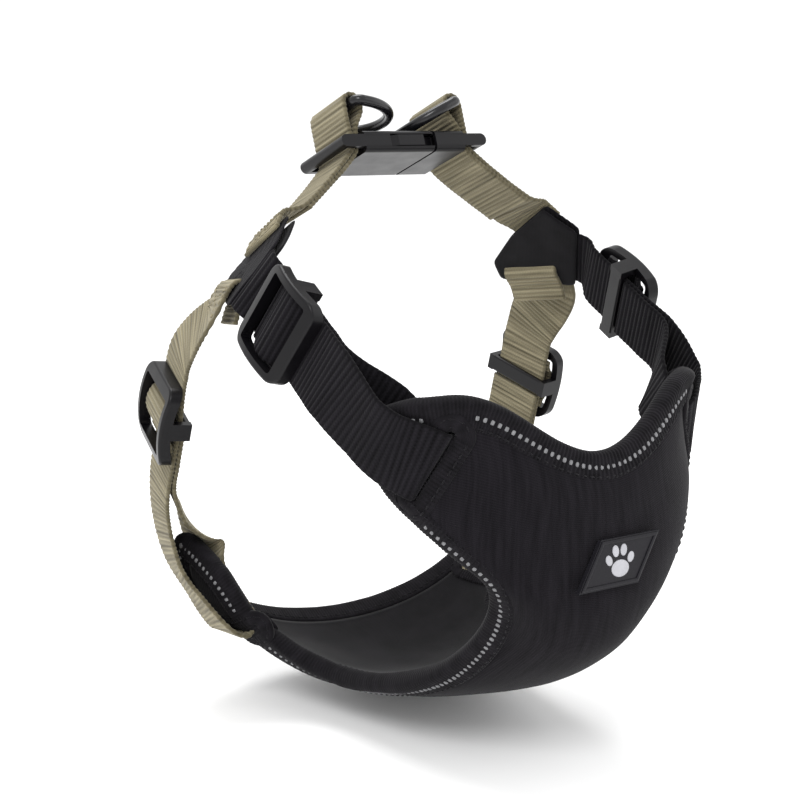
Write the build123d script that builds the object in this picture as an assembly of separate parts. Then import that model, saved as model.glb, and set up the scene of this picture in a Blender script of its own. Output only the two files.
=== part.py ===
from build123d import *
import math
import os

# No-pull dog harness, size M, in millimetres.
# The dog's nose points to -Y, its left side is +X, and +Z is up.
# The origin is the middle of the girth loop, on the dog's own centre line.

os.makedirs("parts", exist_ok=True)

# ---------------------------------------------------------------- driving dimensions

WEB = 25.0                      # webbing width
PLY = 1.5                       # webbing thickness
GAP = 0.3                       # clearance between pieces that move past each other

# Chest panel layers, measured inwards from the outer face.
OUTER_PLY = 1.1
PADDING = 3.2
LINING = 0.9
LAYER_GAP = 0.15
BINDING = 10.0                  # width of the edge binding on the face
BINDING_STEP = 0.5              # how far the binding stands proud of both faces

# Chest panel shape: one row per station from the neckline (0) to the tail edge (1).
# Columns: station, centre Y and Z, edge X, Y and Z, wrap angle in degrees, shoulder rise.
PANEL_ROWS = [
    (0.00, -117, 1, 64, -90, 21, 78, 13),
    (0.08, -121, -13, 66, -72, 6, 84, 7),
    (0.16, -123, -27, 61, -80, -11, 90, 3),
    (0.24, -124, -40, 50, -95, -27, 88, 1),
    (0.32, -123, -53, 39, -104, -39, 80, 0),
    (0.41, -117, -66, 34, -99, -53, 65, 0),
    (0.50, -103, -78, 34, -86, -69, 55, 0),
    (0.59, -82, -89, 37, -67, -84, 50, 0),
    (0.68, -56, -98, 40, -40, -95, 50, 0),
    (0.76, -28, -106, 45, -14, -97, 58, 0),
    (0.84, -3, -111, 56, 3, -84, 80, 0),
    (0.92, 21, -107, 69, 16, -60, 98, 0),
    (1.00, 45, -96, 73, 44, -46, 106, 0),
]

# Slots for the straps: side fraction, station and lean in degrees, then length and depth.
SHOULDER_SLOT = (0.65, 0.0935, 25.0)
SHOULDER_SLOT_SIZE = (28.0, 11.0)
GIRTH_SLOT = (0.60, 0.925, -15.0)
GIRTH_SLOT_SIZE = (28.0, 10.0)
SLOT_EDGING = 7.0               # width of the sewn edging round a slot
SLOT_EDGING_THICKNESS = 0.9

BADGE_STATION = 0.205           # badge centre, on the centre line
BADGE_SIZE = (25.0, 16.0)
BADGE_LEAN = 10.0
BADGE_THICKNESS = 1.6

# Saddle: the buckle, its webbing and the D-rings share one frame, tilted nose up.
SADDLE_ORIGIN = (0, 4, 93)
SADDLE_PITCH = -20.0

BUCKLE_LENGTH = 64.0
BUCKLE_WIDTH = 31.0
BUCKLE_THICKNESS = 8.0
END_BAR = 4.6                   # diameter of the bars at the buckle's ends
WEB_SLOT = 5.4                  # gap between an end bar and its moulding
SOCKET_END = 8.0                # X of the socket's mouth
SOCKET_WALL = 1.7
TAB_START = -11.0               # inner end of the side windows
PLUG_START = 9.0
ARM_TIP = -12.5
ARM_PIVOT = (9.6, 10.6)         # X and Y of a release arm's root, in the saddle frame
ARM_THICKNESS = 4.2
ARM_BOSS = 3.2                  # diameter of the round boss at an arm's root
TONGUE_WIDTH = 7.5

RING_WIRE = 4.0
RING_WIDTH = 26.6               # inside width of a D-ring
RING_REACH = 20.0               # bar centre to the far wire's centre
RING_BAR = (22.3, 15.5)         # bar centre, X and Z in the saddle frame
RING_DROOP = {"right": 10.0, "left": 24.0}

# Junction patches, one on each side of the withers; two plies with the strap ends between.
PATCH_TOP = (57.5, -6.0, 65.0)          # middle of the seam with the back webbing
PATCH_FRONT = (71.5, -17.0, 52.0)       # where the shoulder strap leaves
PATCH_REAR = (66.5, 4.0, 48.0)          # slot that the girth strap loops through
PATCH_FOLD = (0.34, -0.93, 0.15)        # direction of that slot, towards the nose
PATCH_TOP_SEAM = (-4.0, -23.5, 10.5)    # direction of that seam, towards the nose
PATCH_PLY = 1.0
PATCH_SPREAD = 0.9                      # half the space between the two plies
PATCH_OUTLINE = [
    (-13, -1.5), (13, -1.5), (15.5, 14), (-8, 30.5), (-34.5, 9), (-30, 1.5),
]
PATCH_SLOT_SIZE = (5.6, 27.0)
SEAM_OVERLAP = 5.0                      # how far the back webbing reaches over the patch

# Straps on the dog's left: a straight run that each adjuster slides on.
SHOULDER_RUN = (0.025, -0.868, -0.496)
SHOULDER_ACROSS = (-0.26, -0.49, 0.83)
SHOULDER_ADJUSTER = (72.3, -41.1, 37.9)
SHOULDER_STRAIGHT = (-17.0, 31.5)       # ends of the straight run, from the adjuster
GIRTH_RUN = (0.03, 0.32, -0.947)
GIRTH_ACROSS = (0.17, -0.975, -0.10)
GIRTH_ADJUSTER = (82.0, 29.5, -1.0)
GIRTH_STRAIGHT = (-22.0, 28.5)
RUN_LEAD = 3.0                          # extra straight length before a run
RETURN_DROP = 1.9                       # how far the inner ply lies below the outer one
RETURN_END = 4.6                        # where the inner ply meets the adjuster's middle bar

ADJUSTER_WIDTH = 32.0
ADJUSTER_LENGTH = 31.0
ADJUSTER_BAR = 4.4
ADJUSTER_THICKNESS = 4.4
ADJUSTER_BOW = 46.0                     # radius of the adjuster's bowed profile
ADJUSTER_CORNER = 5.5
MIDDLE_BAR = (6.6, 2.3)                 # width and thickness, under the webbing
ADJUSTER_POST = 2.7                     # width of the posts that carry the middle bar
TURN_TOP = 5.6                          # height of the webbing's turn over the middle bar


# ---------------------------------------------------------------- small helpers

def unit(v):
    length = math.sqrt(sum(c * c for c in v))
    return tuple(c / length for c in v)


def add(p, v, scale=1.0):
    return tuple(a + scale * b for a, b in zip(p, v))


def dot(a, b):
    return sum(x * y for x, y in zip(a, b))


def cross(a, b):
    return (a[1] * b[2] - a[2] * b[1], a[2] * b[0] - a[0] * b[2], a[0] * b[1] - a[1] * b[0])


def square_to(v, along):
    """The part of v at right angles to along, as a unit vector."""
    along = unit(along)
    return unit(add(v, along, -dot(v, along)))


def both_sides(name, left_shape):
    """Writes a shape made for the dog's left side, and its mirror image."""
    export_step(left_shape, f"parts/{name}_left.step")
    export_step(left_shape.mirror(Plane.YZ), f"parts/{name}_right.step")


def smooth(station, column):
    """Smooth interpolation of one column of PANEL_ROWS."""
    xs = [row[0] for row in PANEL_ROWS]
    ys = [row[column] for row in PANEL_ROWS]
    last = len(xs) - 1
    i = max(k for k in range(last) if k == 0 or xs[k] <= station)

    def slope(k):
        before, after = max(k - 1, 0), min(k + 1, last)
        return (ys[after] - ys[before]) / (xs[after] - xs[before])

    h = xs[i + 1] - xs[i]
    u = (station - xs[i]) / h
    rise = (3 - 2 * u) * u * u
    return ((1 - rise) * ys[i] + rise * ys[i + 1]
            + h * u * (1 - u) * ((1 - u) * slope(i) - u * slope(i + 1)))


def panel_point(side, station):
    """Point of the panel's outer face; side runs from -1 (dog's right) to 1 (left)."""
    cy, cz, ex, ey, ez, wrap, rise = (smooth(station, k) for k in range(1, 8))
    wrap = math.radians(wrap)
    fold = (1 - math.cos(side * wrap)) / (1 - math.cos(wrap))
    x = ex * math.sin(side * wrap) / math.sin(wrap)
    lift = rise * math.sin(math.pi * side) ** 2
    return (x, cy + (ey - cy) * fold, cz + (ez - cz) * fold + lift)


def panel_normal(side, station):
    """Unit normal of the panel, away from the dog."""
    d = 0.004
    s0, s1 = max(side - d, -1), min(side + d, 1)
    t0, t1 = max(station - d, 0), min(station + d, 1)
    across = add(panel_point(s1, station), panel_point(s0, station), -1)
    along = add(panel_point(side, t1), panel_point(side, t0), -1)
    return unit(cross(along, across))


def half_width(station):
    """Length of the panel from its centre line to one edge, round the curve."""
    steps = 24
    points = [panel_point(k / steps, station) for k in range(steps + 1)]
    return sum(math.dist(a, b) for a, b in zip(points, points[1:]))


def length_scale():
    steps = 60
    points = [panel_point(0, k / steps) for k in range(steps + 1)]
    return sum(math.dist(a, b) for a, b in zip(points, points[1:]))


PANEL_LENGTH = length_scale()


def panel_face(side_range, station_range, depth):
    """Face parallel to the panel's outer face, depth below it, between two side limits."""
    rows = 26
    columns = 22
    low, high = side_range
    first, last = station_range
    points = []
    for i in range(rows + 1):
        station = first + (last - first) * i / rows
        a, b = low(station), high(station)
        line = []
        for j in range(columns + 1):
            side = a + (b - a) * j / columns
            line.append(Vector(*add(panel_point(side, station), panel_normal(side, station), -depth)))
        points.append(line)
    return Face.make_surface_from_array_of_points(points, tol=0.05)


def panel_layer(side_range, station_range, top, bottom):
    """Closed solid between two depths below the panel's outer face."""
    upper = panel_face(side_range, station_range, top)
    lower = panel_face(side_range, station_range, bottom)
    faces = [upper, lower]
    upper_edges = upper.edges()
    for edge in upper_edges:
        middle = edge @ 0.5
        partner = min(lower.edges(), key=lambda e: (e @ 0.5 - middle).length)
        faces.append(Face.make_surface_from_curves(edge, partner))
    return Solid(Shell(faces))


def ribbon(stations, width, thickness, shift=0.0):
    """Strip of webbing through its stations; shift moves it along its outer normal."""
    sections = []
    count = len(stations)
    for i, (point, across) in enumerate(stations):
        ahead = stations[min(i + 1, count - 1)][0]
        behind = stations[max(i - 1, 0)][0]
        along = unit(add(ahead, behind, -1))
        across = square_to(across, along)
        normal = cross(across, along)
        corners = []
        for a, b in ((-1, -1), (1, -1), (1, 1), (-1, 1)):
            corner = add(point, across, a * width / 2)
            corners.append(add(corner, normal, shift + b * thickness / 2))
        sections.append(Wire.make_polygon([Vector(*c) for c in corners], close=True))
    return Solid.make_loft(sections, ruled=True)


def frame_at(origin, along, across):
    """Plane with X along the strap, Y across it and Z outwards."""
    across = square_to(across, along)
    return Plane(origin=origin, x_dir=unit(along), z_dir=cross(across, unit(along)))


# ---------------------------------------------------------------- chest panel

def edge_side(station):
    return 1 - BINDING / half_width(station)


def core_range(trim):
    """Side limits of the panel inside the armhole bindings."""
    def high(station):
        return edge_side(station) - trim / half_width(station)

    def low(station):
        return -high(station)

    return low, high


def slot_axes(slot):
    """Directions across a slot, away from the centre line, and along it, towards the neck."""
    side, station, lean = slot
    d = 0.01
    normal = panel_normal(side, station)
    out = square_to(add(panel_point(side + d, station), panel_point(side - d, station), -1), normal)
    front = cross(normal, out)
    turn = math.radians(lean)
    across = add([math.cos(turn) * c for c in out], front, math.sin(turn))
    along = add([math.cos(turn) * c for c in front], out, -math.sin(turn))
    return across, along


def slot_prism(slot, size, grow, height):
    """D-shaped prism through the panel at a strap slot on the dog's left."""
    side, station, lean = slot
    length, depth = size
    normal = panel_normal(side, station)
    plane = Plane(origin=panel_point(side, station), x_dir=slot_axes(slot)[0], z_dir=normal)
    shape = RectangleRounded(depth + 2 * grow, length + 2 * grow, depth / 2 + grow - 0.2)
    return extrude(plane * shape, height / 2, both=True)


def largest(shape):
    return max(shape.solids(), key=lambda solid: solid.volume)


def without(shape, holes):
    for hole in holes:
        shape = shape - hole
    return largest(shape)


def make_chest_panel():
    full_width = (lambda t: -1.0, lambda t: 1.0)
    neck = BINDING / PANEL_LENGTH
    spacing = 0.5 / PANEL_LENGTH
    inside = (neck + spacing, 1 - neck - spacing)
    core = core_range(0.5)

    holes = []
    for slot, size in ((SHOULDER_SLOT, SHOULDER_SLOT_SIZE), (GIRTH_SLOT, GIRTH_SLOT_SIZE)):
        hole = slot_prism(slot, size, 0.0, 40)
        holes += [hole, hole.mirror(Plane.YZ)]

    depth = 0.0
    layers = (("chest_panel_outer", OUTER_PLY), ("chest_padding", PADDING), ("chest_lining", LINING))
    for name, thickness in layers:
        layer = panel_layer(core, inside, depth, depth + thickness)
        depth += thickness + LAYER_GAP
        export_step(without(layer, holes), f"parts/{name}.step")
    total = depth - LAYER_GAP

    top, bottom = -BINDING_STEP, total + BINDING_STEP
    neck_binding = panel_layer(full_width, (0, neck), top, bottom)
    export_step(without(neck_binding, holes), "parts/neck_binding.step")
    tail_binding = panel_layer(full_width, (1 - neck, 1), top, bottom)
    export_step(without(tail_binding, holes), "parts/tail_binding.step")
    armhole = panel_layer((edge_side, lambda t: 1.0), inside, top, bottom)
    both_sides("armhole_binding", armhole)

    skin = panel_layer(core, inside, -0.1 - SLOT_EDGING_THICKNESS, -0.1)
    for name, slot, size in (("shoulder", SHOULDER_SLOT, SHOULDER_SLOT_SIZE),
                             ("girth", GIRTH_SLOT, GIRTH_SLOT_SIZE)):
        ring = slot_prism(slot, size, SLOT_EDGING, 20) - slot_prism(slot, size, 0.0, 40)
        both_sides(f"{name}_slot_edging", largest(skin & ring))


def make_badge():
    """Rubber badge: a leaning parallelogram, raised rim, lying on the chest."""
    length, height = BADGE_SIZE
    lean = BADGE_LEAN
    origin = add(panel_point(0, BADGE_STATION), panel_normal(0, BADGE_STATION), 0.7)
    plane = Plane(origin=origin, x_dir=(1, 0, 0), z_dir=panel_normal(0, BADGE_STATION))
    corners = [
        (-length / 2 - lean / 2, -height / 2), (length / 2 - lean / 2, -height / 2),
        (length / 2 + lean / 2, height / 2), (-length / 2 + lean / 2, height / 2),
    ]
    outline = make_face(Polyline(*corners, close=True))
    badge = extrude(plane * outline, BADGE_THICKNESS)
    export_step(badge, "parts/badge.step")


# ---------------------------------------------------------------- saddle: buckle and rings

SADDLE = Plane(origin=SADDLE_ORIGIN, x_dir=(1, 0, 0),
               z_dir=(0, -math.sin(math.radians(SADDLE_PITCH)), math.cos(math.radians(SADDLE_PITCH))))


def placed(shape):
    """Moves a shape from the saddle frame to the harness."""
    return SADDLE.location * shape


def end_of_buckle(sign, inner):
    """End bar with its side arms, from the bar to X = inner, on one end of the buckle."""
    half = BUCKLE_LENGTH / 2
    bar_x = sign * (half - END_BAR / 2)
    bar = Pos(bar_x, 0, 0) * Rot(90, 0, 0) * Cylinder(END_BAR / 2, BUCKLE_WIDTH)
    arm_length = abs(bar_x) - abs(inner)
    arm_width = (BUCKLE_WIDTH - WEB - 1.6) / 2
    arms = []
    for side in (-1, 1):
        y = side * (BUCKLE_WIDTH - arm_width) / 2
        x = sign * (abs(inner) + arm_length / 2)
        arms.append(Pos(x, y, 0) * Box(arm_length, arm_width, END_BAR))
    return bar + arms[0] + arms[1]


def make_buckle():
    half = BUCKLE_LENGTH / 2
    inner = half - END_BAR - WEB_SLOT

    # Socket half, on the dog's right.
    length = SOCKET_END + inner
    middle = (SOCKET_END - inner) / 2
    block = Pos(middle, 0, 0) * Box(length, BUCKLE_WIDTH, BUCKLE_THICKNESS)
    block = fillet(block.edges().filter_by(Axis.X), 2.4)
    cavity_length = SOCKET_END - TAB_START + 6
    cavity_x = SOCKET_END - cavity_length / 2
    cavity = Pos(cavity_x, 0, 0) * Box(cavity_length + 0.02, BUCKLE_WIDTH - 2 * SOCKET_WALL,
                                       BUCKLE_THICKNESS - 2 * SOCKET_WALL)
    window_length = SOCKET_END - TAB_START
    windows = Pos(SOCKET_END - window_length / 2, 0, 0) * Box(
        window_length + 0.02, BUCKLE_WIDTH + 2, BUCKLE_THICKNESS - 2 * SOCKET_WALL)
    socket = block - cavity - windows
    socket = socket + end_of_buckle(-1, -inner)
    export_step(placed(socket), "parts/buckle_socket.step")

    # Plug half, on the dog's left: base, guide tongue and end bar.
    base_length = inner - PLUG_START
    base = Pos(PLUG_START + base_length / 2, 0, 0) * Box(base_length, BUCKLE_WIDTH, BUCKLE_THICKNESS)
    base = fillet(base.edges().filter_by(Axis.X), 2.4)
    tongue_length = PLUG_START - ARM_TIP + 1
    tongue = Pos(PLUG_START - tongue_length / 2 + 1, 0, 0) * Box(tongue_length, TONGUE_WIDTH, 3.0)
    root_room = []
    for side in (-1, 1):
        pocket = Pos(ARM_PIVOT[0] - 0.4, side * ARM_PIVOT[1], 0) * Box(
            4.6, ARM_THICKNESS + 2.2, BUCKLE_THICKNESS - 2 * SOCKET_WALL)
        root_room.append(pocket)
    plug = base + tongue + end_of_buckle(1, inner) - root_room[0] - root_room[1]
    export_step(placed(plug), "parts/buckle_plug.step")

    # Two release arms: a springy stem from the root and a finger tab at the tip.
    height = BUCKLE_THICKNESS - 2 * SOCKET_WALL - 2 * GAP
    root_x, root_y = ARM_PIVOT
    edge_y = BUCKLE_WIDTH / 2
    outline = [
        (root_x - 0.2, root_y - 1.3), (root_x - 0.2, root_y + 1.3), (5.0, edge_y - 2.2), (3.6, edge_y),
        (-7.5, edge_y), (TAB_START + 0.5, edge_y - 1.2), (TAB_START + 0.5, edge_y - SOCKET_WALL - 0.5),
        (ARM_TIP, edge_y - SOCKET_WALL - 0.8), (ARM_TIP, edge_y - 6.0), (-2.0, edge_y - 5.4),
        (4.0, edge_y - 6.4),
    ]
    arm = extrude(make_face(Polyline(*outline, close=True)), height / 2, both=True)
    arm = arm + Pos(root_x, root_y, 0) * Cylinder(ARM_BOSS / 2, height)
    export_step(placed(arm), "parts/buckle_arm_rear.step")
    export_step(placed(arm.mirror(Plane.XZ)), "parts/buckle_arm_front.step")


def ring_at(side):
    """D-ring with its straight bar in the webbing's loop, hanging inwards over the buckle."""
    half = (RING_WIDTH + RING_WIRE) / 2
    corners = [(0, -half), (0, half), (-RING_REACH, half), (-RING_REACH, -half)]
    path = FilletPolyline(*corners, radius=[2.6, 2.6, half - 0.2, half - 0.2], close=True)
    start = Plane(origin=path @ 0, z_dir=path % 0)
    ring = sweep(start * Circle(RING_WIRE / 2), path=path)
    ring = Pos(RING_BAR[0], 0, RING_BAR[1]) * Rot(0, -RING_DROOP[side], 0) * ring
    if side == "right":
        ring = ring.mirror(Plane.YZ)
    return placed(ring)


def back_webbing():
    """Left back webbing: up from the patch, through the buckle, round the ring's bar and back."""
    lower = SADDLE.to_local_coords(Vector(*PATCH_TOP))
    slot_x = BUCKLE_LENGTH / 2 - END_BAR - WEB_SLOT / 2
    below_x, below_z = slot_x + 1.4, -4.0
    step = PLY / 2 + 0.1
    over_patch = PATCH_SPREAD + PATCH_PLY + 2 * GAP + PLY / 2
    along = unit((lower.X - below_x, 0, lower.Z - below_z))
    reach = math.hypot(lower.X - below_x, lower.Z - below_z)
    nx, nz = -along[2], along[0]
    bar_x, bar_z = RING_BAR
    loop = RING_WIRE / 2 + 1.5 * GAP + PLY / 2

    def beside(distance, offset):
        """Point at a distance below the buckle's slot, offset outwards."""
        x, z = below_x + distance * along[0], below_z + distance * along[2]
        return (x + offset * nx, z + offset * nz)

    route = [beside(reach - 11, step), beside(2, step), (slot_x + step, -1.5), (slot_x + step, 6.0)]
    for k in range(9):
        angle = math.pi * k / 8
        route.append((bar_x + loop * math.cos(angle), bar_z + loop * math.sin(angle)))
    route += [(bar_x - loop, bar_z - 3.0), (slot_x - step - 1.2, 6.0), (slot_x - step, -1.5)]
    route += [beside(1, -step), beside(reach - 11, -step)]
    across = tuple(SADDLE.y_dir)
    stations = []
    for below_seam in (SEAM_OVERLAP, -3.0):
        point = PATCH_PLANE.from_local_coords(Vector(0, below_seam, over_patch))
        stations.append((tuple(point), add((0, 0, 0), PATCH_PLANE.x_dir, -1)))
    for x, z in route:
        stations.append((tuple(SADDLE.from_local_coords(Vector(x, 0, z))), across))
    return ribbon(stations, WEB, PLY)


# ---------------------------------------------------------------- junction patches

PATCH_U = unit(PATCH_TOP_SEAM)
PATCH_NORMAL = unit(cross(add(PATCH_FRONT, PATCH_TOP, -1), add(PATCH_REAR, PATCH_TOP, -1)))
PATCH_PLANE = Plane(origin=PATCH_TOP, x_dir=square_to(PATCH_U, PATCH_NORMAL), z_dir=PATCH_NORMAL)
GIRTH_LEAVES = cross(PATCH_NORMAL, square_to(PATCH_FOLD, PATCH_NORMAL))


def patch_ply(bottom):
    outline = make_face(Polyline(*PATCH_OUTLINE, close=True))
    ply = extrude(PATCH_PLANE.offset(bottom) * outline, PATCH_PLY)
    ply = fillet(ply.edges().filter_by(lambda e: abs((e % 0.5).dot(Vector(*PATCH_NORMAL))) > 0.9), 1.5)
    slot_plane = Plane(origin=PATCH_REAR, x_dir=GIRTH_LEAVES, z_dir=PATCH_NORMAL)
    slot = slot_plane * RectangleRounded(*PATCH_SLOT_SIZE, 2.0)
    return ply - extrude(slot, 10, both=True)


# ---------------------------------------------------------------- straps

def on_run(origin, run, across, distance, height=0.0):
    """Strap station on an adjuster's straight run."""
    normal = cross(square_to(across, run), unit(run))
    return (add(add(origin, unit(run), distance), normal, height), across)


def straight_run(origin, run, across, ends):
    """Stations of a straight run; an extra step at each end keeps its faces flat."""
    start, end = ends
    places = (start - RUN_LEAD, start, end, end + 1.0)
    return [on_run(origin, run, across, place) for place in places]


def along_slot(slot, offsets):
    """Strap stations round a slot: offsets list the side, the station and the height."""
    side, station, lean = slot
    across = slot_axes(slot)[1]
    stations = []
    for side_step, station_step, height in offsets:
        here = (side + side_step, station + station_step)
        normal = panel_normal(*here)
        stations.append((add(panel_point(*here), normal, height), square_to(across, normal)))
    return stations


def shoulder_strap():
    """Outer ply: from between the patch's plies, along the run, into the lobe's slot."""
    leave = square_to(SHOULDER_RUN, PATCH_NORMAL)
    across = square_to(SHOULDER_ACROSS, PATCH_NORMAL)
    stations = [(add(PATCH_FRONT, leave, -9), across), (add(PATCH_FRONT, leave, 4), across)]
    stations += straight_run(SHOULDER_ADJUSTER, SHOULDER_RUN, SHOULDER_ACROSS, SHOULDER_STRAIGHT)
    return stations + along_slot(SHOULDER_SLOT, [
        (0.30, -0.045, 4.6), (0.16, -0.024, 4.4), (0.06, -0.009, 4.0), (0.010, -0.001, 2.0),
        (0.0, 0.0, -1.2), (0.0, 0.0, -3.0),
    ])


def shoulder_return():
    """Inner ply: out of the slot, under the lobe, back up to the adjuster's middle bar."""
    end = SHOULDER_STRAIGHT[1]
    return along_slot(SHOULDER_SLOT, [
        (0.0, 0.0, -4.0), (0.004, -0.001, -7.4), (0.04, -0.006, -9.8), (0.16, -0.024, -10.6),
        (0.29, -0.043, -10.2),
    ]) + [
        on_run(SHOULDER_ADJUSTER, SHOULDER_RUN, SHOULDER_ACROSS, end - 2, -RETURN_DROP - 1.2),
        on_run(SHOULDER_ADJUSTER, SHOULDER_RUN, SHOULDER_ACROSS, RETURN_END, -RETURN_DROP),
    ]


def girth_strap():
    """Outer ply: stitched tail, fold through the patch, along the run, into the lobe's slot."""
    across = square_to(PATCH_FOLD, PATCH_NORMAL)
    stations = []
    for along, height in ((14, -4.9), (8, -3.2), (2.2, -3.2), (0.4, -1.9), (-0.4, 0),
                          (0.4, 1.9), (2.2, 3.2), (8, 3.2), (14, 2.6)):
        point = add(add(PATCH_REAR, GIRTH_LEAVES, along), PATCH_NORMAL, height)
        stations.append((point, across))
    stations += straight_run(GIRTH_ADJUSTER, GIRTH_RUN, GIRTH_ACROSS, GIRTH_STRAIGHT)
    return stations + [
        ((82.6, 40.0, -38.0), (0.18, -0.96, -0.2)),
        ((81.6, 38.8, -49.0), (0.15, -0.97, -0.15)),
        ((79.2, 35.8, -60.0), (0.12, -0.98, -0.1)),
    ] + along_slot(GIRTH_SLOT, [
        (0.18, 0.02, 4.8), (0.10, 0.01, 4.3), (0.035, 0.002, 3.2), (0.001, 0.0, -1.2),
        (0.0, 0.0, -3.0),
    ])


def girth_return():
    """Inner ply: out of the slot, under the lobe, back up to the adjuster's middle bar."""
    end = GIRTH_STRAIGHT[1]
    return along_slot(GIRTH_SLOT, [
        (0.0, 0.0, -4.0), (0.004, 0.0, -7.4), (0.04, 0.003, -10.4), (0.2, 0.025, -11.4),
        (0.34, 0.04, -10.2),
    ]) + [
        ((71.5, 38.0, -42.0), (0.1, -0.97, -0.2)),
        on_run(GIRTH_ADJUSTER, GIRTH_RUN, GIRTH_ACROSS, end - 2, -RETURN_DROP - 1.4),
        on_run(GIRTH_ADJUSTER, GIRTH_RUN, GIRTH_ACROSS, RETURN_END, -RETURN_DROP),
    ]


# ---------------------------------------------------------------- adjusters

def adjuster():
    """Three-bar slide, bowed outwards; X along the strap, Z outwards, webbing at Z = 0."""
    floor = PLY / 2 + GAP
    inner_bow = ADJUSTER_BOW - ADJUSTER_THICKNESS
    sag = inner_bow - math.sqrt(inner_bow ** 2 - (ADJUSTER_LENGTH / 2) ** 2)
    crown = floor + sag + ADJUSTER_THICKNESS
    outline = RectangleRounded(ADJUSTER_LENGTH, ADJUSTER_WIDTH, ADJUSTER_CORNER)
    body = extrude(outline, 20, both=True)
    barrel = Rot(90, 0, 0) * Cylinder(ADJUSTER_BOW, ADJUSTER_WIDTH + 2)
    hollow = Rot(90, 0, 0) * Cylinder(inner_bow, ADJUSTER_WIDTH + 4)
    body = body & (Pos(0, 0, crown - ADJUSTER_BOW) * (barrel - hollow))
    body = body & (Pos(0, 0, 15) * Box(100, 100, 30))
    body = fillet(body.edges().group_by(Axis.Z)[-1], 1.0)
    inner = ADJUSTER_LENGTH - 2 * ADJUSTER_BAR
    window = extrude(RectangleRounded(inner, WEB + 1.2, 1.2), 20, both=True)
    bar_width, bar_thickness = MIDDLE_BAR
    middle = Pos(0, 0, -floor - bar_thickness / 2) * Box(bar_width, ADJUSTER_WIDTH, bar_thickness)
    middle = fillet(middle.edges().filter_by(Axis.Y), 0.8)
    height = crown - 1.5 + floor + bar_thickness
    posts = []
    for side in (-1, 1):
        y = side * (ADJUSTER_WIDTH - ADJUSTER_POST) / 2
        posts.append(Pos(0, y, crown - 1.5 - height / 2) * Box(bar_width, ADJUSTER_POST, height))
    return (body - window) + middle + posts[0] + posts[1]


def adjuster_wrap():
    """The turn of webbing over the adjuster's middle bar, in the adjuster's frame."""
    low = PLY + GAP
    half = [(10.4, low), (7.6, low + 0.6), (4.6, TURN_TOP - 1.1), (1.6, TURN_TOP)]
    route = half + [(-x, z) for x, z in reversed(half)]
    return ribbon([((x, 0, z), (0, 1, 0)) for x, z in route], WEB, PLY)


# ---------------------------------------------------------------- write every node

make_chest_panel()
make_badge()
make_buckle()
for ring_side in ("right", "left"):
    export_step(ring_at(ring_side), f"parts/d_ring_{ring_side}.step")
both_sides("back_webbing", back_webbing())
both_sides("junction_patch_outer", patch_ply(PATCH_SPREAD))
both_sides("junction_patch_lining", patch_ply(-PATCH_SPREAD - PATCH_PLY))
both_sides("shoulder_strap", ribbon(shoulder_strap(), WEB, PLY))
both_sides("shoulder_strap_return", ribbon(shoulder_return(), WEB, PLY))
both_sides("girth_strap", ribbon(girth_strap(), WEB, PLY))
both_sides("girth_strap_return", ribbon(girth_return(), WEB, PLY))
for strap, origin, run, across in (
        ("shoulder", SHOULDER_ADJUSTER, SHOULDER_RUN, SHOULDER_ACROSS),
        ("girth", GIRTH_ADJUSTER, GIRTH_RUN, GIRTH_ACROSS)):
    place = frame_at(origin, run, across).location
    both_sides(f"{strap}_adjuster", place * adjuster())
    both_sides(f"{strap}_adjuster_wrap", place * adjuster_wrap())
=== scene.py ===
import math

import bpy
import numpy as np
from mathutils import Matrix, Vector


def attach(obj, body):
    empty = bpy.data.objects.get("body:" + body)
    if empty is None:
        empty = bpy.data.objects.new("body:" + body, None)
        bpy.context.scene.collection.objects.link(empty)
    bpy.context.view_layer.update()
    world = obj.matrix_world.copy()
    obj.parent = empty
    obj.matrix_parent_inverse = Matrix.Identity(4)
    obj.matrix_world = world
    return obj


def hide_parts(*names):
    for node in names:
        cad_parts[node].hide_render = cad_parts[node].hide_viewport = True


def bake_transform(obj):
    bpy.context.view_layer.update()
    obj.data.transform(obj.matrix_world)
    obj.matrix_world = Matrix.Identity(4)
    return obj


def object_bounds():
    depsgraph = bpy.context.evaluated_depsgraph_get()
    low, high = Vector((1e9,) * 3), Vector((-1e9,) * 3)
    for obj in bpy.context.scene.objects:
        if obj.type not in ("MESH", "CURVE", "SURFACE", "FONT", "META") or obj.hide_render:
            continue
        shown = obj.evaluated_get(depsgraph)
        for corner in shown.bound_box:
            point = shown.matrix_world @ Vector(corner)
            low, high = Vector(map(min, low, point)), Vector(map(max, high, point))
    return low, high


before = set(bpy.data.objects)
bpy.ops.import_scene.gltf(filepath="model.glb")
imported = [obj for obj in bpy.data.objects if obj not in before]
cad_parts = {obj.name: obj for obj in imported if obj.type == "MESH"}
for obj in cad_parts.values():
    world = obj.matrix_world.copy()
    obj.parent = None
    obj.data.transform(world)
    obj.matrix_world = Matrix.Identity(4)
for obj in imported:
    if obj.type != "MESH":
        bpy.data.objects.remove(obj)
cad_low, cad_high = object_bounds()

# No-pull dog harness: the looks. Shapes are worked out in millimetres, in the CAD's frame,
# and scaled to metres when a mesh is made. The dog's nose points to -Y and its left is +X.

MM = 0.001
PLY = 1.5                       # webbing thickness
WEB = 25.0                      # webbing width
PANEL_THICKNESS = 5.5
BINDING = 10.0
SLOT_EDGING = 6.5
TAN_RIB = 1.8                   # pitch of the webbing's ribs
BLACK_RIB = 2.1
SEAM_RISE = 0.85                # height of the binding's stitches over the panel's outer face
INSIDE_SEAM_RISE = 0.8          # and below its inner face
SLOT_SEAM_RISE = 0.95           # height of the slot edging's stitches over the outer face
TRACK_STEP = 0.5                # spacing of the lines that follow an edge, along the cloth

# ---------------------------------------------------------------- chest panel shape

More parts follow.
